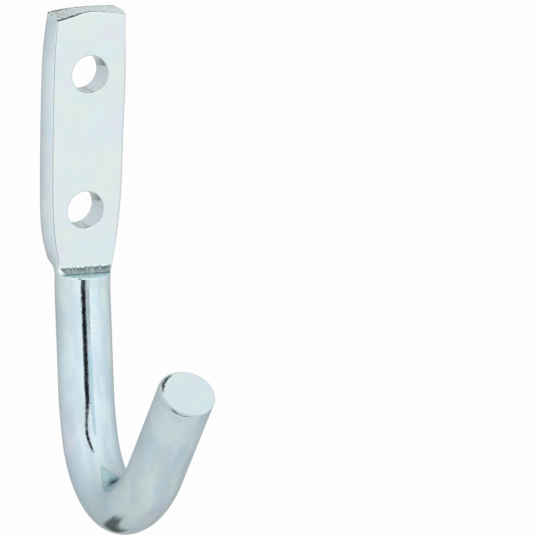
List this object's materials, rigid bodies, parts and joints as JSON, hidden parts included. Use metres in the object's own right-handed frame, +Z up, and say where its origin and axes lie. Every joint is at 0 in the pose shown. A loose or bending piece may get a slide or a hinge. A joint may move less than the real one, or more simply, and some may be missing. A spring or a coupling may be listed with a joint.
{
  "type": "screw hook",
  "caption": "J-shaped hook bent from a round bar, its upper end pressed flat and drilled so that it screws to a wall or a side board.",
  "frame": {"origin": "on the back face of the flat, midway between the screw holes", "axes": "+Z up along the flat, -Y out of the wall towards the hook's tip, +X to the right seen from the front"},
  "size_m": [0.0147, 0.0542, 0.0857],
  "materials": {
    "zinc_plate": "bright zinc plating, pale blue-white with faint rainbow clouding"
  },
  "bodies": {
    "root": {"hook": "zinc_plate"}
  },
  "joints": []
}
